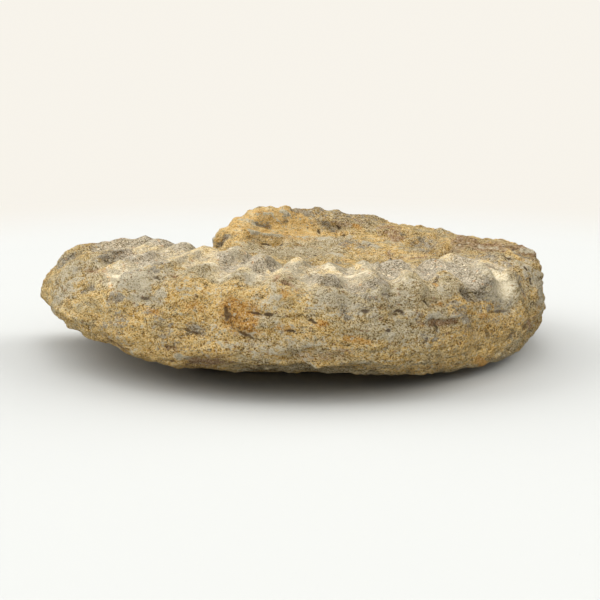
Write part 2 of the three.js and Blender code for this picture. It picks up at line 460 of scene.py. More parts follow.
DARK_GREY_AND_SHADE_MARKS = (
    # painted shade and dark grey in the hollows between the ribs, from left to right
    (-54, -36, 48, -52, -41, 46, 4.5, -1, 0.7),
    (-54, -65, 44, -51, -60, 47, 4, -1, 0.7),
    (-25, -55, 48, -23, -61, 45, 6, -1.2, 0.95),
    (-12, -61, 47, -11, -67, 44, 4.5, -2.4, 1.3),
    (-6, -56, 46, -5, -60, 45, 4.5, -2, 1.2),
    (25, -60, 43, 30, -62, 43, 4, -1.4, 0.6),
    (41, -51, 44, 41, -66, 43, 5.5, -1.8, 1.3),
    (57, -38, 42, 57, -64, 43, 5, -1.4, 1.2),
    (68, -45, 43, 70, -52, 44, 1.5, -1.2, 0.9),
    (73, -42, 43, 71, -64, 41, 6, -1.6, 1.1),
    (64, -44, 43, 78, -32, 44, 7, 0, 1),
    (86, -26, 44, 92, -40, 43, 6, 0, 0.75),
    # painted shade and dark grey in the hollows along the line where shell meets crust
    (12, -82, 43, 18, -85, 43, 1.7, -1.6, 0.8),
    (18, -86, 43, 24, -82, 41, 1.5, -1.3, 0.9),
    (22, -92, 36, 23, -94, 32, 2, -1.3, 0.8),
    (26, -82, 41, 36, -78, 42, 5, 0, 0.8),
    (28, -82, 42, 30, -87, 42, 1.5, -1.3, 1),
    (32, -83, 43, 34, -87, 43, 2, -1.6, 1.2),
    (30, -91, 37, 39, -91, 35, 6, 0, 0.45),
    (51, -88, 31, 54, -88, 29, 3, -0.6, 0.7),
    (54, -89, 23, 58, -87, 21, 3.5, 0.6, 0.5),
    (64, -79, 36, 71, -78, 27, 5, 0, 0.6),
    (70, -73, 37, 73, -71, 36, 2, -2.6, 1.5),
    (72, -71, 36, 77, -69, 33, 3.5, -1.8, 0.9),
    (80, -67, 32, 87, -61, 29, 3, -0.6, 0.6),
    (87, -60, 33, 93, -54, 29, 4, 0, 0.5),
    (95, -49, 40, 100, -37, 36, 3, -0.6, 0.6),
    (97, -47, 36, 100, -43, 32, 3, -0.9, 0.75),
    # painted shade and dark grey in the troughs behind the crests at the left end
    (-102, -12, 38, -97, -10, 41, 4, -1.6, 0.8),
    (-97, -10, 41, -85, -8, 44, 2.5, -1.2, 0.6),
    (-82, -5, 45, -66, 0, 47, 12, 0, 1),
    (-66, 0, 47, -55, -16, 49, 9, 0, 0.9),
    (-78, -27, 47, -71, -24, 46, 3, -1, 1.1),
    (-78, -35, 43, -72, -34, 43, 2, -1.5, 0.6),
    (-74, -30, 46, -60, -43, 47, 10, 0, 1.05),
    (-50, -36, 49, -42, -31, 49, 7, 0, 0.75),
    (-63, -66, 44, -60, -66, 44, 2.5, -0.5, 0.6),
    (-86, -47, 33, -80, -55, 36, 1.7, -0.9, 1),
    (-72, -64, 33, -67, -71, 34, 2.5, -0.9, 1),
    (-73, -67, 22, -63, -75, 26, 5, 0, 0.5),
    (-50, -83, 26, -44, -86, 20, 7, 0, 0.55),
    (-37, -87, 27, -33, -89, 25, 3, -0.6, 0.8),
    # painted shade and dark grey on the sunk shell beyond the middle and in the hollows round it
    (-34, 38, 37, -28, 33, 42, 2.2, -1.6, 1.2),
    (-16, 45, 48, -10, 49, 46, 1.6, -1.5, 0.9),
    (-15, 35, 40, -4, 38, 39, 1, -2.4, 0.8),
    (-2, 58, 47, -1, 57, 47, 1.3, -1.6, 0.8),
    (2, 64, 50, 14, 68, 51, 8, 0, 0.7),
    (11, 23, 33, 11, 12, 31, 4.5, -1.2, 0.6),
    (18, 63, 45, 22, 61, 43, 1.7, -1.6, 0.8),
    (22, 25, 33, 24, 24, 32, 1.7, -1.4, 1),
    (24, 68, 48, 42, 72, 47, 7, 0, 0.6),
    (28, 46, 37, 37, 47, 37, 6, 0, 0.65),
    (47, 65, 45, 51, 64, 45, 2.5, -0.8, 0.7),
    (56, 53, 41, 57, 53, 41, 1.5, -2, 1.2),
    (61, 46, 38, 65, 43, 37, 3.5, -0.6, 0.6),
    (65, 48, 40, 66, 47, 40, 2, -2, 1.2),
    (78, -22, 44, 84, -23, 44, 2, -0.6, 0.8),
    (102, -15, 42, 105, -17, 41, 2.5, -1.1, 1.2),
    # broad painted shade over the front ribs, the right end and the middle
    (59, -32, 43, 57, -64, 42, 6, 0, 1.5),
    (68, -50, 43, 76, -66, 38, 6, 0, 1.5),
    (42, -60, 42, 47, -54, 45, 5, 0, 1.3),
    (28, -84, 41, 36, -82, 43, 5, 0, 1.2),
    (11, -68, 43, 17, -82, 42, 5, 0, 1.1),
    (68, 46, 38, 67, 36, 36, 8, 0, 0.7),
    (89, -46, 42, 95, -36, 40, 4, 0, 0.7),
    (-18, -50, 43, -8, -58, 43, 5, 0, 1.3),
)
UMBER_MARKS = (
    # brown pits and patches at the left end
    (-86, -38, 41, -76, -53, 42, 4.5, 0, 0.5),
    (-84, -39, 40, -81, -40, 41, 1.8, -1.4, 1.1),
    (-76, -52, 42, -75, -51, 43, 1.6, -1.5, 1.3),
    (-74, -29, 45, -67, -26, 45, 2.5, -1.1, 0.6),
    (-47, -65, 43, -43, -67, 43, 1.8, -1.5, 1),
    (-72, -63, 15, -64, -69, 13, 3, -2, 1),
    (-47, -85, 18, -43, -86, 18, 1.6, -1.7, 1),
    # brown colour and painted shade in the hollows in the crust of the front
    (-4, -77, 45, 2, -84, 42, 5, 0, 0.5),
    (-5, -82, 44, -4, -79, 45, 2, -1.6, 0.9),
    (-1, -84, 44, 1, -83, 43, 2, -2.4, 1.4),
    (55, -87, 28, 66, -81, 27, 2, -1.9, 1.1),
    (66, -81, 26, 76, -72, 22, 6, 0, 0.4),
    (76, -71, 25, 89, -60, 22, 7, 0, 0.35),
    # painted shadow in brown along the foot
    (-36, -83, 11, -25, -90, 14, 4.5, -2, 1.1),
    (4, -96, 17, 20, -96, 17, 5, -2.8, 0.6),
    (51, -72, 4, 52, -72, 4, 2.5, -1, 0.9),
    # right end
    (104, -20, 40, 110, -28, 25, 6, 0, 0.5),
    (108, -31, 25, 104, -40, 16, 5, 0, 0.4),
    (103, -42, 18, 105, -37, 13, 2.5, -0.8, 0.9),
    (93, -48, 42, 98, -48, 33, 4, 0, 0.4),
    # worn brown layers at the right, behind the ribs
    (73, 36, 40, 83, 5, 45, 7, 0, 0.5),
    (83, 5, 45, 110, -3, 39, 7, 0, 0.7),
    (80, 16, 45, 87, 14, 44, 1.6, 1.2, 0.9),
    (88, 12, 43, 97, 12, 43, 1.5, -1.7, 1.4),
    (88, -9, 43, 95, -14, 43, 1.7, 1.1, 0.9),
    (102, 1, 43, 109, -3, 40, 1.6, 1, 0.9),
    (93, -34, 41, 107, -19, 40, 6, 0, 0.5),
    (85, -40, 45, 91, -44, 42, 3.5, 0, 0.45),
    # the middle
    (22, 60, 42, 29, 61, 42, 3, 0, 0.5),
    (24, 64, 46, 36, 66, 46, 4.5, 0, 0.55),
    (49, 58, 42, 54, 53, 39, 5.5, 1.6, 0.8),
    (47, 32, 33, 53, 28, 34, 2.5, 0, 0.7),
    (49, 40, 35, 49, 34, 34, 1.3, -1.4, 1),
    (60, 25, 34, 66, 23, 35, 2.5, -1, 0.9),
)
CRACK_MARKS = (
    # left end
    (-58, -73, 35, -54, -75, 35, 1.3, -1.1, 0.8),
    (-54, -68, 43, -47, -69, 42, 1.4, -1.4, 0.8),
    (-54, -72, 11, -52, -73, 11, 1.3, -1.4, 1),
    (-48, -80, 12, -43, -84, 13, 1.2, -1.3, 0.9),
    (-43, -77, 43, -40, -72, 45, 1.3, -1, 0.8),
    (-40, -86, 26, -34, -89, 24, 1.3, -1.5, 0.9),
    # the bracket round the orange patch, and the straight crack from it
    (-23, -90, 36, -23, -93, 30, 1.3, -1.7, 0.9),
    (-23, -93, 30, -21, -94, 28, 1.2, -1.4, 0.6),
    (-19, -93, 27, -13, -95, 24, 1.3, -1.5, 0.9),
    (-14, -91, 34, -9, -93, 33, 1.2, -1.2, 1.3),
    (-9, -93, 33, -5, -95, 33, 1, -1, 1),
    # front of the rim
    (0, -97, 27, 4, -97, 27, 1.1, -1.2, 1),
    (8, -95, 31, 12, -95, 30, 1.1, -1.2, 1.1),
    (28, -92, 34, 32, -92, 34, 1.1, -1.2, 0.9),
    (36, -90, 40, 40, -87, 39, 1.1, -0.9, 0.8),
    (38, -95, 27, 40, -94, 27, 1.2, -1.6, 1),
    (41, -91, 33, 45, -89, 33, 1.3, -1.5, 1.1),
    (51, -80, 8, 51, -79, 7, 1.5, -2.4, 1.3),
    (52, -90, 21, 54, -89, 23, 1.1, -1.1, 0.7),
    (53, -85, 37, 56, -83, 35, 1.2, -2.2, 1.3),
    (58, -71, 41, 60, -70, 42, 1.1, -1.4, 1),
    (58, -85, 28, 59, -86, 24, 1.2, -1.3, 0.8),
    (80, -69, 21, 82, -66, 16, 1.3, -1.2, 0.7),
    (81, -67, 28, 93, -54, 26, 1.2, -1.1, 0.7),
    # right end
    (82, -42, 44, 88, -47, 42, 1.1, -1, 0.7),
    (90, -56, 12, 95, -52, 16, 1.2, -1.2, 0.7),
    (94, -27, 45, 96, -30, 43, 1.4, -2.2, 1.3),
    (96, -1, 42, 105, -2, 42, 1.1, -1.3, 0.9),
    (98, -49, 16, 103, -43, 18, 1.4, -1.6, 0.8),
    (99, -48, 28, 104, -41, 20, 1.2, -1.4, 0.8),
    (101, -33, 41, 103, -34, 39, 1.3, -1.3, 1),
    (104, -34, 37, 105, -35, 33, 1.3, -1.9, 1.2),
    # beyond the middle, under the edge of the sunk shell, and in the matrix
    (-13, 35, 40, -7, 37, 40, 1.6, -3.2, 1.5),
    (-7, 37, 40, -4, 40, 40, 1.2, -2.6, 1.2),
    (-11, 48, 46, -6, 48, 43, 1.2, -2.2, 1.2),
    (12, 34, 35, 13, 33, 35, 1.4, -1.5, 1),
    (14, 59, 43, 15, 58, 42, 1.3, -1.2, 1.1),
    (23, 62, 44, 25, 62, 43, 1.2, -1.8, 1.1),
    (25, 57, 40, 28, 57, 40, 1.1, -1.6, 1.1),
    (33, 54, 39, 37, 46, 37, 1.2, -1.7, 0.8),
    (38, 46, 37, 42, 47, 37, 1, -0.8, 0.8),
    (52, 30, 34, 54, 22, 33, 1.2, -1.6, 0.9),
)
RUST_MARKS = (
    # left end
    (-92, -43, 29, -91, -45, 29, 2.2, 0, 0.7),
    (-74, -56, 39, -73, -57, 39, 1.2, 0, 1.2),
    (-72, -59, 37, -71, -61, 37, 1.2, 0, 1.2),
    (-62, -73, 32, -54, -77, 32, 3, 0, 0.5),
    (-56, -70, 40, -52, -72, 40, 1.4, 0.5, 1),
    (-55, -77, 31, -51, -80, 31, 1.6, 0, 1.2),
    (-39, -84, 34, -32, -85, 34, 3, 0, 0.65),
    # the orange patch inside the bracket
    (-22, -91, 35, -14, -92, 34, 4.5, 0.6, 1.3),
    (-21, -92, 31, -14, -93, 29, 5, 0, 1.1),
    (-13, -93, 30, -11, -96, 24, 3.5, 0, 0.6),
    # front of the rim
    (-3, -97, 29, 1, -97, 28, 1.4, 0, 1),
    (-1, -91, 41, 0, -91, 40, 1.8, 0, 0.9),
    (12, -96, 30, 15, -96, 30, 1.7, 0, 1.1),
    (23, -96, 24, 31, -96, 23, 1.5, -1, 1),
    (42, -86, 39, 43, -86, 39, 1.4, 0, 0.9),
    (51, -89, 29, 52, -89, 28, 1.4, 0, 1),
    (58, -73, 40, 59, -74, 40, 1.3, 0, 1),
    (58, -81, 35, 60, -80, 34, 1.6, 0, 0.8),
    (76, -72, 27, 80, -68, 27, 1.2, 1, 1),
    (77, -66, 9, 79, -62, 7, 2, 0, 1.3),
    (98, -48, 32, 100, -46, 30, 2, 0, 0.8),
    # the middle
    (8, 52, 40, 9, 53, 40, 1.2, 0, 1),
    (27, 46, 37, 30, 44, 36, 1.8, 0, 0.9),
    (33, 63, 44, 35, 62, 43, 1.5, 0, 1.3),
)
PALE_AND_HIGHLIGHT_MARKS = (
    # worn shell at the left end, with the crystal lump, and pale crest lines with painted highlights
    (-60, -43, 46, -57, -38, 47, 2, 1.7, 1),
    (-63, -46, 46, -60, -44, 46, 2, 1.6, 0.9),
    (-59, -23, 45, -52, -15, 47, 2, 1.5, 0.2),
    (-44, -54, 47, -36, -44, 49, 2, 1.5, 0.2),
    (-69, -50, 44, -59, -47, 44, 6, 0.8, 0.5),
    (-69, -60, 39, -59, -69, 42, 6, 1.2, 0.6),
    (-68, -64, 42, -56, -68, 43, 9, 0, 1.1),
    (-81, -36, 42, -81, -37, 41, 1.5, 0.4, 1.3),
    (-57, -72, 38, -57, -73, 37, 3, 1.6, 1.5),
    (-51, -76, 38, -47, -80, 38, 1.6, 0.8, 1.4),
    (-35, -66, 46, -32, -65, 46, 1.8, 0.5, 1.2),
    # rib ends, pale, with painted highlights
    (-31, -60, 47, -29, -62, 46, 2, 0.5, 1.3),
    (-8, -62, 44, -5, -59, 44, 1.6, 1.4, 0.8),
    (-19, -66, 45, -15, -69, 46, 2.2, 1, 0.3),
    (-15, -69, 46, -10, -73, 43, 2, 1.3, 0.4),
    (-10, -73, 43, -5, -69, 44, 2, 1.3, 0.4),
    (-5, -69, 44, -1, -64, 46, 2, 1.2, 0.4),
    (7, -64, 44, 17, -62, 45, 4, 0.6, 0.6),
    (17, -57, 46, 21, -65, 43, 2.2, 0.8, 0.2),
    (20, -70, 43, 29, -67, 44, 4.5, 0.6, 0.6),
    (28, -70, 43, 33, -64, 45, 3, 0.8, 0.6),
    (32, -73, 45, 34, -76, 45, 2, 1, 0.7),
    (38, -80, 43, 48, -80, 43, 3, 0.4, 0.6),
    (45, -67, 44, 51, -57, 43, 2, 0.8, 0.3),
    (36, -88, 43, 37, -89, 42, 1.2, 0.6, 1.4),
    (82, -42, 43, 91, -48, 41, 2, 1, 0.2),
    (79, -59, 44, 81, -63, 41, 4, 1.4, 0.5),
    (82, -50, 41, 88, -53, 38, 7, -0.4, 1),
    (90, -52, 37, 93, -52, 34, 5, 0.5, 0.5),
    (75, -65, 40, 77, -67, 38, 3, 0, 0.9),
    (80, -62, 39, 89, -56, 33, 10, 0, 1.15),
    (70, -64, 41, 72, -65, 40, 1.5, 0.5, 1.1),
    (60, -76, 40, 61, -76, 39, 1.5, 0, 1.1),
    # crust of the front
    (-98, -36, 28, -92, -40, 33, 8, 0, 0.7),
    (-60, -73, 36, -50, -77, 36, 6, 0, 0.75),
    (-42, -79, 43, -40, -82, 39, 5, 0, 0.5),
    (-36, -82, 40, -28, -85, 40, 4, 0, 0.5),
    (-22, -76, 44, -12, -77, 45, 6, 0, 0.75),
    (-11, -88, 39, -10, -89, 38, 1.6, 0, 1),
    (-5, -87, 43, -4, -92, 39, 1.8, 0.6, 0.8),
    (-12, -90, 37, -4, -93, 36, 4, 0, 0.6),
    (-31, -89, 27, -22, -95, 21, 5, 0, 0.45),
    (-9, -94, 32, -1, -98, 23, 5, 0, 0.42),
    (-16, -96, 21, 12, -98, 21, 6, 0, 0.7),
    (15, -92, 39, 24, -90, 36, 7, 0, 0.85),
    (36, -88, 40, 46, -82, 40, 6, 0, 0.75),
    (38, -94, 27, 40, -94, 25, 2.2, 1.1, 1),
    (46, -89, 32, 51, -88, 32, 1.7, 1, 1),
    (53, -90, 22, 55, -88, 23, 1.4, 0.5, 0.9),
    (55, -87, 30, 60, -83, 30, 1.7, 0.8, 1),
    (60, -83, 29, 68, -79, 29, 1.5, 1.4, 0.7),
    # ledges and flakes near the foot
    (-72, -65, 18, -65, -76, 20, 1.5, 1.1, 0.6),
    (-64, -76, 20, -60, -72, 13, 1.5, 1.5, 0.6),
    (-53, -66, 8, -50, -62, 6, 1.7, 1.1, 1.1),
    (-43, -85, 15, -37, -86, 15, 1.8, 1.1, 0.9),
    (7, -96, 15, 12, -94, 12, 1.4, 1.3, 0.9),
    (29, -95, 14, 31, -94, 13, 1.4, 0.5, 1.3),
    (61, -67, 4, 65, -66, 4, 2.2, 0, 1.3),
    # the bump: pale colour with a painted highlight on the edge of the sunk shell, and light layers above
    # it
    (-20, 37, 44, -16, 39, 44, 1.9, 2.4, 1.4),
    (-16, 39, 44, -5, 43, 41, 1.6, 2.4, 1.2),
    (-23, 46, 48, -17, 44, 48, 2.2, 1.4, 0.9),
    (-16, 50, 52, -9, 53, 51, 2, 0.6, 0.9),
    (-9, 53, 50, -6, 54, 48, 1.8, 0.4, 0.8),
    (-4, 60, 51, -2, 60, 50, 2.2, 1.4, 1.4),
    (-37, 43, 38, -35, 42, 41, 3, 0, 0.9),
    # the middle
    (-7, 44, 42, 0, 46, 41, 2.5, 0.6, 0.8),
    (4, 50, 41, 18, 53, 39, 2.5, 0.4, 0.7),
    (21, 36, 34, 24, 33, 33, 2.2, 1.1, 1.2),
    (36, 50, 38, 43, 44, 36, 2.2, 1, 1.2),
    (39, 38, 35, 48, 33, 34, 3.5, 0, 0.5),
    (86, 2, 43, 95, 1, 43, 1.2, 0.5, 0.9),
    (86, -27, 43, 89, -28, 43, 1.2, 0, 1),
    (102, -3, 41, 109, -3, 40, 1.3, 0.5, 0.9),
    (102, -30, 38, 110, -24, 26, 10, 0, 0.85),
    # broad pale patches with painted light, at the left end and the right of the front
    (-58, -74, 38, -58, -69, 43, 5, 0, 1.3),
    (82, -65, 37, 85, -60, 40, 5, 0, 1.4),
    (-81, -33, 45, -75, -29, 46, 4, 0, 0.8),
)
GREY_MARKS = (
    (-102, -11, 39, -81, -29, 46, 6, 0, 0.5),
    (-99, -30, 35, -83, -40, 40, 10, 0, 0.85),
    (-80, -49, 40, -75, -58, 37, 3.5, 0, 0.7),
    (-50, -62, 45, -36, -70, 45, 7, 0, 0.9),
    (8, -62, 44, 16, -64, 44, 6, 0, 0.85),
    (26, -72, 43, 30, -88, 40, 7, 0, 0.85),
    (16, -93, 38, 44, -87, 37, 12, 0, 0.6),
    (26, -95, 29, 54, -89, 25, 8, 0, 0.85),
    (43, -89, 34, 60, -83, 30, 5, 0, 0.5),
    (72, -74, 32, 77, -71, 30, 3.5, 0, 0.7),
    (-18, -95, 22, -2, -97, 18, 4, 0, 0.5),
    (34, -95, 16, 43, -93, 16, 4, 0, 0.5),
    # the middle, below the bump
    (-2, 42, 40, 28, 51, 39, 7, 0.6, 0.9),
    (-15, 25, 38, 22, 41, 35, 9, 0, 0.9),
    (5, 61, 46, 44, 64, 45, 6, 0, 0.55),
)
OCHRE_MARKS = (
    # left end
    (-87, -37, 41, -75, -52, 42, 4.5, 0, 0.8),
    (-74, -65, 30, -54, -78, 32, 6, 0, 0.5),
    (-76, -66, 21, -58, -78, 19, 7, 0, 0.8),
    (-64, -73, 16, -40, -84, 14, 6, 0, 0.85),
    (-53, -74, 39, -51, -74, 39, 1.8, 0, 1),
    (-54, -78, 31, -30, -87, 33, 8, 0, 0.5),
    (-54, -80, 21, -33, -90, 20, 9, 0, 0.5),
    (-46, -85, 20, -25, -94, 21, 8, 0, 0.95),
    # front of the rim
    (-42, -81, 38, -28, -86, 38, 10, 0, 1),
    (-38, -85, 31, -27, -91, 27, 7, 0, 0.85),
    (-22, -86, 41, -9, -90, 38, 7, 0, 0.95),
    (-2, -87, 43, 8, -90, 38, 6, 0, 0.75),
    (5, -77, 42, 10, -74, 42, 2.5, 0, 0.8),
    (3, -97, 25, 22, -97, 20, 7, 0, 0.8),
    (16, -93, 36, 26, -93, 31, 7, 0, 0.75),
    (10, -94, 13, 64, -78, 9, 7, 0, 0.85),
    (38, -95, 26, 40, -94, 24, 2, 0, 0.7),
    (70, -79, 19, 97, -51, 22, 10, 0, 0.95),
    (66, -74, 11, 90, -57, 13, 7, 0, 0.9),
    (110, -28, 25, 112, -26, 22, 3, 0, 0.8),
    # the bump, and the middle to the right of it
    (-30, 50, 45, 5, 58, 44, 12, 0, 1.4),
    (-26, 28, 41, -21, 34, 45, 6, 0, 1.2),
    (5, 57, 43, 28, 58, 40, 5, 0, 1),
    (14, 38, 35, 19, 39, 34, 3, 0, 1),
    (27, 43, 36, 47, 53, 38, 4.5, 0, 0.9),
    (27, 27, 33, 30, 25, 32, 3, 0, 1.1),
    (32, 37, 34, 54, 37, 35, 5, 0, 0.9),
    (54, 32, 34, 69, 35, 37, 5, 0, 0.6),
    (87, -61, 28, 66, -79, 33, 5, 0, 1.2),
    (-62, -74, 25, -58, -77, 30, 6, 0, 1.2),
)

# the finishes that the marks store on the stone; the material draws the cracks itself; the dark, umber and
# pale finishes also paint shade, shadow and highlights
STAINS = ("dark", "umber", "rust", "pale", "grey", "ochre")
MARKS = {
    "plain": [(*mark, 0) for mark in PLAIN_MARKS],
    "dark": DARK_GREY_AND_SHADE_MARKS,
    "umber": UMBER_MARKS,
    "crack": CRACK_MARKS,
    "rust": RUST_MARKS,
    "pale": PALE_AND_HIGHLIGHT_MARKS,
    "grey": GREY_MARKS,
    "ochre": OCHRE_MARKS,
}


def shape_marks(piece):
    """Raise the marked ridges, sink the marked hollows and store where each mark's finish shows.

    Where marks overlap, the strongest counts.
    """
    points = places(piece)
    lift = np.zeros(len(points))
    sink = np.zeros(len(points))
    for name, marks in MARKS.items():
        finish = np.zeros(len(points))
        for *line, width, rise, strength in marks:
            share = nearness(points, line[:3], line[3:], width)
            finish = np.maximum(finish, strength * share)
            if rise > 0:
                lift = np.maximum(lift, rise * share)
            else:
                sink = np.maximum(sink, -rise * share)
        if name in STAINS:
            attribute(piece, name, 0.5 * finish)
    raise_surface(piece, 0.006, lift / 6)
    raise_surface(piece, -0.006, sink / 6)


def nearness(points, start, end, width):
    """1 on the line from start to end, falling to about a third at width, in millimetres."""
    start = np.array(start) / 1000
    along = np.array(end) / 1000 - start
    share = np.clip((points - start) @ along / max(along @ along, 1e-12), 0, 1)
    gap = points - start - share[:, None] * along
    return np.exp(-(gap * gap).sum(axis=1) / (width / 1000) ** 2)


# ---------------------------------------------------------------- the stone
def wear_down(piece):
    """Smooth the middle's back wall and the ribs, as weather does."""
    # the middle's back wall slumps into a slope
    points = places(piece)
    back, inset, _ = coil_places(points)
    corner = (back > 190) * (back < 330) * between(inset, 0.72, 1.0, 0.12)
    corner = np.maximum(corner, (back > 540) * (back < 690) * between(inset, -0.1, 0.2, 0.15))
    smooth_surface(piece, 160, 0.6, corner)

    # the ribs are worn down outwards from their inner ends, and more towards the old end
    flank = ease(back, 14, 24) * (1 - ease(back, 140, 150)) * ease(inset, 0.12, 0.2)
    flank = flank * (1 - ease(inset, 1.0, 1.08))
    smooth_surface(piece, 26, 0.5, flank)
    worn = flank * (1 - ease(inset, 0.42, 0.6))
    worn = np.maximum(worn, flank * ease(back, 92, 108))
    worn = np.maximum(worn, flank * (1 - ease(back, 48, 56)) * ease(inset, 0.45, 0.6))
    smooth_surface(piece, 70, 0.5, worn)


def roughen(piece):
    """Give the crust its lumps and grit, and the middle and the bump their layers."""
    points = places(piece)
    shell = shell_share(points, facing(piece)[:, 2])
    inset = coil_places(points)[1]
    lift = ease(points[:, 2], 0.0005, 0.004)
    hump = nearness(points, (-34, 44, 44), (20, 60, 46), 22)
    crust = (1 - 0.85 * shell) * (1 - 0.8 * hump) * lift
    raise_surface(piece, 0.0014, crust, lump_texture("clods", 0.013, 1))
    raise_surface(piece, 0.0012, crust, lump_texture("lumps", 0.006, 2, hard=True))
    layered = ease(inset, 0.16, 0.02) * lift
    beds = lump_texture("beds", 0.010, 2)
    share = (1 - shell) * (1 - 0.6 * hump) * lift * (0.35 + 0.65 * layered)
    raise_surface(piece, 0.0022, share, beds, flat=0.22)
    ledges = lump_texture("ledges", 0.015, 2, hard=True)
    raise_surface(piece, 0.0018, hump * lift, ledges, flat=0.24, dip=14)
    grit = lump_texture("grit", 0.0019, kind="VORONOI")
    raise_surface(piece, -0.0006, crust, grit)
    raise_surface(piece, 0.0004, crust)
    fine = lump_texture("fine", 0.0016, 2)
    raise_surface(piece, 0.0005, np.clip(crust + 0.2, 0, 1) * lift, fine)


class FOSSIL_OT_stone(bpy.types.Operator):
    """Build the stone: a fine copy of the solid with the rock's relief"""

    bl_idname = "fossil.stone"
    bl_label = "Stone"

    def execute(self, context):
        settings = context.scene.fossil_stone
        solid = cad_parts["ammonite"]
        pick(solid)
        bpy.ops.object.duplicate()
        piece = context.object
        piece.name = "ammonite_stone"
        piece.data.name = "ammonite_stone"
        bpy.ops.object.mode_set(mode="EDIT")
        bpy.ops.mesh.select_all(action="SELECT")
        bpy.ops.mesh.remove_doubles(threshold=1e-6)
        bpy.ops.object.mode_set(mode="OBJECT")
        piece.data.remesh_voxel_size = settings.grain
        bpy.ops.object.voxel_remesh()
        smooth_surface(piece, 16)
        wear_down(piece)
        shape_marks(piece)
        smooth_surface(piece, 3)
        roughen(piece)
        thin(piece, settings.most_triangles)
        paint(piece)
        bpy.ops.object.shade_smooth()
        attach(piece, "root")
        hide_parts("ammonite")
        return {"FINISHED"}


def thin(piece, most):
    """Collapse the flattest faces until no more than the given number of triangles is left."""
    count = sum(len(face.vertices) - 2 for face in piece.data.polygons)
    pick(piece)
    bpy.ops.object.modifier_add(type="DECIMATE")
    modifier = piece.modifiers[-1]
    modifier.ratio = min(1.0, most / count)
    bpy.ops.object.modifier_apply(modifier=modifier.name)


# how far in from the rim the smooth shell begins: (degrees back, inset)
SHELL_EDGE = (
    (4, 0.34),
    (22, 0.38),
    (34, 0.22),
    (46, 0.30),
    (56, 0.44),
    (68, 0.37),
    (80, 0.29),
    (92, 0.21),
    (112, 0.19),
    (124, 0.12),
    (140, 0.10),
)
# patches where the shell reaches further: start, end and width in millimetres
SHELL_PATCHES = (
    ((22, -62, 43), (27, -80, 42), 6.5),
    ((86, -46, 42), (90, -54, 35), 6.5),
    ((-66, -55, 43), (-70, -56, 42), 9.0),
    ((-46, -48, 48), (-36, -42, 50), 6.0),
)


def shell_share(points, up):
    """1 where the flank still shows smooth shell, 0 on the crust."""
    back, inset, rib = coil_places(points)
    wobble = 0.10 * cloudy(points, 0.016, 3.0, 3) + 0.05 * cloudy(points, 0.004, 5.0, 2)
    low = np.interp(back, *zip(*SHELL_EDGE)) + wobble - 0.03 * np.cos(2 * np.pi * (rib + 0.5))
    shell = ease(inset, low - 0.10, low + 0.10) * (1 - ease(inset, 0.86, 0.97))
    shell = shell * ease(up, -0.2, 0.2) * between(back, 8, 136, 12)
    for start, end, width in SHELL_PATCHES:
        shell = np.maximum(shell, nearness(points, start, end, width))
    return shell


def paint(piece):
    """Store where each finish lies, for the material to read."""
    points = places(piece)
    up = facing(piece)[:, 2]
    back, inset, rib = coil_places(points)
    shell = shell_share(points, up)
    attribute(piece, "shell", shell)
    # painted shade with some grey dirt: the shell darkens midway between the rib crests
    attribute(piece, "valley_grey_and_shade", 0.75 * shell * (0.5 - 0.5 * np.cos(2 * np.pi * rib)) ** 2)
    hump = nearness(points, (-34, 44, 44), (4, 56, 46), 20)
    middle = nearness(points, (20, 48, 36), (62, 40, 36), 15)
    attribute(piece, "bedded", np.maximum(hump, 0.7 * middle))
    attribute(piece, "amber", nearness(points, (-30, 46, 44), (0, 56, 45), 16))
    low = np.interp(back, *zip(*SHELL_EDGE))
    attribute(piece, "under", between(inset, low - 0.14, low + 0.03, 0.08) * between(back, 58, 136, 8))
    attribute(piece, "layered", nearness(points, (70, 4, 44), (108, 2, 42), 15))
    bottom = ease(points[:, 0], 0.02, -0.05) * ease(points[:, 2], 0.03, 0.012)
    attribute(piece, "golden", bottom)


def stone_patterns(tree):
    """The patterns in the stone, from broad patches to single grains."""
    place = node(tree, "ShaderNodeTexCoord").outputs["Object"]
    level = stretched(tree, place, (1, 1, 2.6))
    turn = (0, math.radians(14), 0)
    slant = node(tree, "ShaderNodeMapping", {"Vector": place, "Rotation": turn, "Scale": (1, 1, 5)})
    wander = node(tree, "ShaderNodeTexNoise", {"Vector": place, "Scale": 500.0, "Detail": 2.0})
    wander = vectors(tree, "SUBTRACT", wander.outputs["Color"], (0.5, 0.5, 0.5))
    wander = vectors(tree, "ADD", place, scaled(tree, wander, 0.0016))
    hue = cloud(tree, level, 85, 7, 0.8)
    patches = cloud(tree, level, 170, 6, 0.72)
    blotches = cloud(tree, stretched(tree, place, (1, 1, 1.5)), 430, 4, 0.7)
    specks = cloud(tree, place, 2000, 2, 0.8)
    layers = cloud(tree, slant.outputs[0], 130, 5, 0.7)
    sand = grains(tree, place, 1700)

    # how light each spot is, from the patches down to the single grains
    tone = total(tree, times(tree, patches, 0.50), times(tree, blotches, 0.28))
    tone = total(tree, tone, times(tree, sand["tone"], 0.24))
    tone = total(tree, tone, times(tree, specks, 1.05))
    tone = total(tree, tone, -0.5)
    return SimpleNamespace(
        place=place,
        level=level,
        wander=wander,
        hue=hue,
        patches=patches,
        blotches=blotches,
        specks=specks,
        layers=layers,
        sand=sand,
        tone=tone,
    )


# the colours of the worn layers at the right: (level of the layer pattern, colour)
SHEET_COLOURS = (
    (0.40, (0.17, 0.095, 0.040)),
    (0.46, (0.42, 0.30, 0.150)),
    (0.50, (0.60, 0.48, 0.290)),
    (0.54, (0.36, 0.23, 0.105)),
    (0.60, (0.20, 0.12, 0.060)),
)
# dark brown of the grains, also painted shade inside the small pits
PIT_SHADE_AND_GRAIN_COLOUR = (0.10, 0.06, 0.025, 1)
CHIP_COLOUR = (0.80, 0.75, 0.60, 1)
CRACK_COLOUR = (0.085, 0.05, 0.025, 1)
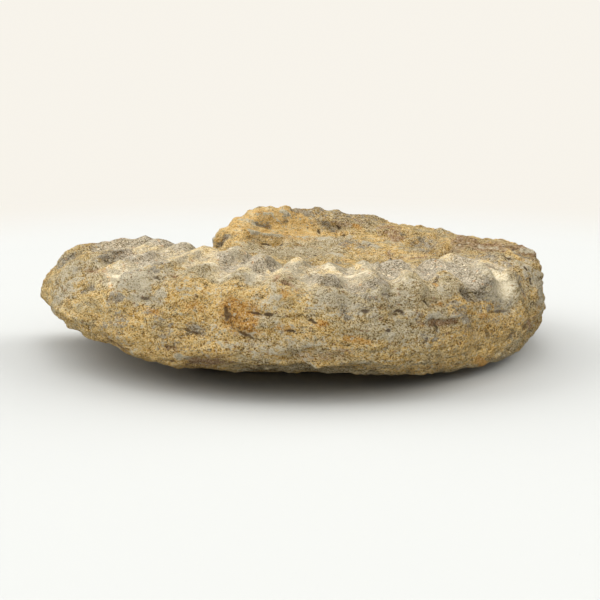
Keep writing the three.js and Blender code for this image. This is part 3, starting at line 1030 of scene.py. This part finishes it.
# how far apart the shades of each colour lie
CONTRASTS = dict(crust=1, ochre=1, grey=1, shell=0.4, cream=0.4, rust=0.8, umber=0.8, shaded_grey=0.8)


def stone_shades(tree, pattern, settings):
    """Each of the stone's colours, in its own shades."""
    shade = SimpleNamespace()
    for name, contrast in CONTRASTS.items():
        setattr(shade, name, shades(tree, pattern.tone, getattr(settings, name), contrast))
    layered_tone = total(tree, times(tree, pattern.layers, 0.55), times(tree, pattern.tone, 0.45))
    shade.amber = shades(tree, layered_tone, settings.amber)
    shade.sheets = ramp(tree, pattern.layers, *SHEET_COLOURS)
    return shade


def finish_colour(tree, pattern, shade):
    """The crust's colour with each finish laid over it, painted shade and painted highlights among them.
    """
    ragged = total(tree, times(tree, pattern.patches, 0.6), times(tree, pattern.blotches, 0.5))

    def where(name, low, high, amount=1.0):
        """1 where the stored finish shows, with a ragged edge."""
        worn = total(tree, read(tree, name), times(tree, ragged, amount))
        return edge(tree, worn, low, high)

    def stain(name):
        return where(name, 1.40, 1.62, amount=2.2)

    colour = blend(tree, edge(tree, pattern.hue, 0.495, 0.58), shade.crust, shade.ochre)
    colour = blend(tree, times(tree, edge(tree, pattern.hue, 0.49, 0.42), 0.85), colour, shade.grey)
    colour = blend(tree, times(tree, where("golden", 1.0, 1.6), 0.8), colour, shade.ochre)
    colour = blend(tree, times(tree, where("under", 0.9, 1.6), 0.7), colour, shade.grey)
    colour = blend(tree, stain("ochre"), colour, shade.ochre)
    colour = blend(tree, times(tree, stain("grey"), 0.9), colour, shade.grey)
    bedded = total(tree, times(tree, read(tree, "bedded"), 0.75), 0.12)
    colour = blend(tree, times(tree, edge(tree, pattern.layers, 0.54, 0.60), bedded), colour, shade.cream)
    colour = blend(tree, times(tree, edge(tree, pattern.layers, 0.45, 0.38), bedded), colour, shade.umber)
    colour = blend(tree, times(tree, where("amber", 0.80, 1.20), 0.85), colour, shade.amber)
    tinted = blend(tree, times(tree, edge(tree, pattern.hue, 0.46, 0.58), 0.7), shade.shell, shade.crust)
    colour = blend(tree, where("shell", 0.78, 1.40), colour, tinted)
    # painted shade and grey dirt in the valleys between the ribs
    colour = blend(tree, times(tree, where("valley_grey_and_shade", 0.75, 1.4), 0.4), colour, shade.shaded_grey)
    colour = blend(tree, times(tree, where("layered", 1.50, 2.10, amount=2.2), 0.85), colour, shade.sheets)
    # umber, rust and pale stains; the umber also paints shadow along the foot and shade in front hollows,
    # the pale also paints highlights
    for name, over in (("umber", shade.umber), ("rust", shade.rust), ("pale", shade.cream)):
        colour = blend(tree, stain(name), colour, over)
    # painted shade and dark grey where the dark marks lie
    colour = blend(tree, times(tree, stain("dark"), 0.85), colour, shade.shaded_grey)
    return colour


def grain_colour(tree, pattern, shade, colour):
    """The colour with rusty specks, dark grains, painted shade in the pits, pebbles and chips of shell
    laid over it.
    """
    rusty = edge(tree, cloud(tree, pattern.place, 1100, 3, 0.7), 0.59, 0.65)
    colour = blend(tree, times(tree, rusty, 0.45), colour, shade.rust)
    dark_grain_and_pit_shade = total(tree, times(tree, pattern.specks, 0.7), times(tree, pattern.blotches, 0.3))
    dark_grain_and_pit_shade = edge(tree, dark_grain_and_pit_shade, 0.43, 0.385)
    streaks = cloud(tree, stretched(tree, pattern.wander, (1, 1, 2.2)), 720, 3, 0.7)
    wisps = edge(tree, streaks, 0.42, 0.37)
    dots = grains(tree, pattern.wander, 1050)
    dots = times(tree, edge(tree, dots["height"], 0.72, 0.84), edge(tree, dots["tone"], 0.42, 0.36))
    dark_grain_and_pit_shade = sums(tree, "MAXIMUM", dark_grain_and_pit_shade, times(tree, wisps, 0.6))
    dark_grain_and_pit_shade = sums(tree, "MAXIMUM", dark_grain_and_pit_shade, times(tree, dots, 0.8))
    open_grain = from_crust_to_shell(tree, 0.95, 0.35)
    pitted = edge(tree, cloud(tree, pattern.level, 110, 4, 0.65), 0.40, 0.60)
    open_grain = times(tree, open_grain, total(tree, times(tree, pitted, 0.85), 0.25))
    colour = blend(tree, times(tree, dark_grain_and_pit_shade, open_grain), colour, PIT_SHADE_AND_GRAIN_COLOUR)
    clasts = grains(tree, pattern.wander, 560)
    clast = edge(tree, clasts["height"], 0.58, 0.70)
    pebble = times(tree, clast, edge(tree, clasts["tone"], 0.86, 0.90))
    colour = blend(tree, times(tree, pebble, 0.8), colour, shade.cream)
    pebble = times(tree, clast, edge(tree, clasts["tone"], 0.10, 0.06))
    colour = blend(tree, times(tree, pebble, 0.8), colour, shade.umber)
    chips = edge(tree, cloud(tree, pattern.place, 1100, 3, 0.6), 0.64, 0.68)
    colour = blend(tree, times(tree, chips, 0.7), colour, CHIP_COLOUR)
    return colour


def crack_share(tree, pattern, piece):
    """1 inside the marked cracks, 0 elsewhere."""
    cut = 0.0
    for *line, width, _, strength in CRACK_MARKS:
        _, start, facing, _ = piece.closest_point_on_mesh(Vector(line[:3]) / 1000)
        _, end, _, _ = piece.closest_point_on_mesh(Vector(line[3:]) / 1000)
        crack = streak(tree, pattern.wander, start, end, facing, width)
        cut = sums(tree, "MAXIMUM", cut, times(tree, crack, 0.9 * min(strength, 1.0)))
    return cut


def grain_relief(tree, pattern):
    """The finest relief, softer on the smooth shell."""
    relief = total(tree, times(tree, pattern.sand["height"], 0.25), times(tree, pattern.specks, 1.4))
    relief = total(tree, relief, times(tree, pattern.blotches, 1.4))
    rough = from_crust_to_shell(tree, 1.0, 0.45)
    return node(
        tree, "ShaderNodeBump", {"Height": relief, "Strength": rough, "Distance": 0.0015}
    ).outputs[0]


class FOSSIL_OT_stone_finish(bpy.types.Operator):
    """Give the stone its colours and fine grain"""

    bl_idname = "fossil.stone_finish"
    bl_label = "Stone finish"

    def execute(self, context):
        settings = context.scene.fossil_stone
        piece = bpy.data.objects["ammonite_stone"]
        material = bpy.data.materials.new("fossil_stone")
        material.use_nodes = True
        tree = material.node_tree
        shader = tree.nodes["Principled BSDF"]
        shader.inputs["Specular IOR Level"].default_value = 0.25

        pattern = stone_patterns(tree)
        shade = stone_shades(tree, pattern, settings)
        colour = finish_colour(tree, pattern, shade)
        colour = grain_colour(tree, pattern, shade, colour)
        colour = blend(tree, crack_share(tree, pattern, piece), colour, CRACK_COLOUR)
        tree.links.new(colour, shader.inputs["Base Color"])
        shader.inputs["Roughness"].default_value = 0.88
        tree.links.new(grain_relief(tree, pattern), shader.inputs["Normal"])
        piece.data.materials.clear()
        piece.data.materials.append(material)
        return {"FINISHED"}


class FOSSIL_OT_stage(bpy.types.Operator):
    """Set up the pale floor, the soft light and the camera"""

    bl_idname = "fossil.stage"
    bl_label = "Stage"

    def lamp(self, name, towards, strength, softness, onto):
        """A sun from the given direction, as wide as softness in degrees, lighting some objects."""
        bpy.ops.object.light_add(type="SUN", location=towards)
        lamp = bpy.context.object
        lamp.name = name
        lamp.data.energy = strength
        lamp.data.angle = math.radians(softness)
        lamp.rotation_euler = lamp.location.to_track_quat("Z", "Y").to_euler()
        lit = bpy.data.collections.new("lit by " + name)
        for item in onto:
            lit.objects.link(item)
        lamp.light_linking.receiver_collection = lit

    def execute(self, context):
        settings = context.scene.fossil_stage
        bpy.ops.object.select_all(action="DESELECT")
        bpy.ops.mesh.primitive_plane_add(size=6)
        floor = context.object
        floor.name = "floor"
        material = bpy.data.materials.new("floor")
        material.use_nodes = True
        tree = material.node_tree
        shader = tree.nodes["Principled BSDF"]
        place = node(tree, "ShaderNodeTexCoord").outputs["Object"]
        dust = cloud(tree, place, 420, 4, 0.8)
        soil = edge(tree, dust, 0.66, 0.74)
        low = tuple(0.86 * share for share in settings.floor_colour)
        tint = blend(tree, soil, (*settings.floor_colour, 1), (*low, 1))
        tree.links.new(tint, shader.inputs["Base Color"])
        shader.inputs["Roughness"].default_value = 0.8
        glow = node(tree, "ShaderNodeEmission", {"Color": (*settings.backdrop_colour, 1)})
        far = node(tree, "ShaderNodeVectorMath", {0: place}, operation="LENGTH").outputs["Value"]
        sweep = node(
            tree,
            "ShaderNodeMixShader",
            {0: edge(tree, far, 0.30, 0.55), 1: shader.outputs[0], 2: glow.outputs[0]},
        )
        tree.links.new(sweep.outputs[0], tree.nodes["Material Output"].inputs["Surface"])
        floor.data.materials.append(material)

        world = bpy.data.worlds.new("studio")
        world.use_nodes = True
        tree = world.node_tree
        background = tree.nodes["Background"]
        seen = node(tree, "ShaderNodeLightPath").outputs["Is Camera Ray"]
        direction = node(tree, "ShaderNodeTexCoord").outputs["Generated"]
        height = node(tree, "ShaderNodeSeparateXYZ", {"Vector": direction}).outputs["Z"]
        glow = ramp(tree, height, (0.0, (0.04,) * 3), (0.4, (0.42,) * 3), (1.0, (1.0,) * 3))
        tint = blend(tree, seen, glow, (*settings.backdrop_colour, 1))
        tree.links.new(tint, background.inputs["Color"])
        context.scene.world = world
        context.scene.view_settings.view_transform = "Standard"

        stone = [item for item in context.scene.objects if item.type == "MESH" and item != floor]
        self.lamp("overhead", (-0.4, 0.3, 1.0), settings.light, 60, stone)
        self.lamp("front", (-0.2, -1.0, 0.5), settings.front_light, 45, stone)
        self.lamp("back", (-0.1, 0.5, 1.0), 0.5 * settings.floor_light, 50, [floor])
        self.lamp("left", (-1.0, 0.45, 0.6), settings.floor_light, 55, [floor])
        self.lamp("right", (1.0, 0.45, 0.6), settings.floor_light, 55, [floor])

        tilt = settings.elevation
        target = Vector((COIL_AXIS[0] - 0.01425, COIL_AXIS[1], 0.0151))
        away = Vector((0, -math.cos(tilt), math.sin(tilt)))
        camera = bpy.data.cameras.new("camera")
        camera.lens = settings.lens
        holder = bpy.data.objects.new("camera", camera)
        context.scene.collection.objects.link(holder)
        holder.location = target + away * settings.distance
        holder.rotation_euler = (-away).to_track_quat("-Z", "Y").to_euler()
        context.scene.camera = holder
        return {"FINISHED"}


class FOSSIL_PT_panel(bpy.types.Panel):
    """Sidebar panel listing the build steps"""

    bl_label = "Ammonite Fossil"
    bl_space_type = "VIEW_3D"
    bl_region_type = "UI"
    bl_category = "Fossil"

    def draw(self, context):
        for operator in OPERATORS:
            self.layout.operator(operator.bl_idname)


OPERATORS = (FOSSIL_OT_stone, FOSSIL_OT_stone_finish, FOSSIL_OT_stage)
CLASSES = (StoneSettings, StageSettings, *OPERATORS, FOSSIL_PT_panel)


def register():
    for cls in CLASSES:
        bpy.utils.register_class(cls)
    bpy.types.Scene.fossil_stone = PointerProperty(type=StoneSettings)
    bpy.types.Scene.fossil_stage = PointerProperty(type=StageSettings)


def unregister():
    del bpy.types.Scene.fossil_stone
    del bpy.types.Scene.fossil_stage
    for cls in reversed(CLASSES):
        bpy.utils.unregister_class(cls)


def main():
    register()
    bpy.ops.fossil.stone()
    bpy.ops.fossil.stone_finish()
    bpy.ops.fossil.stage()


if __name__ == "__main__":
    main()
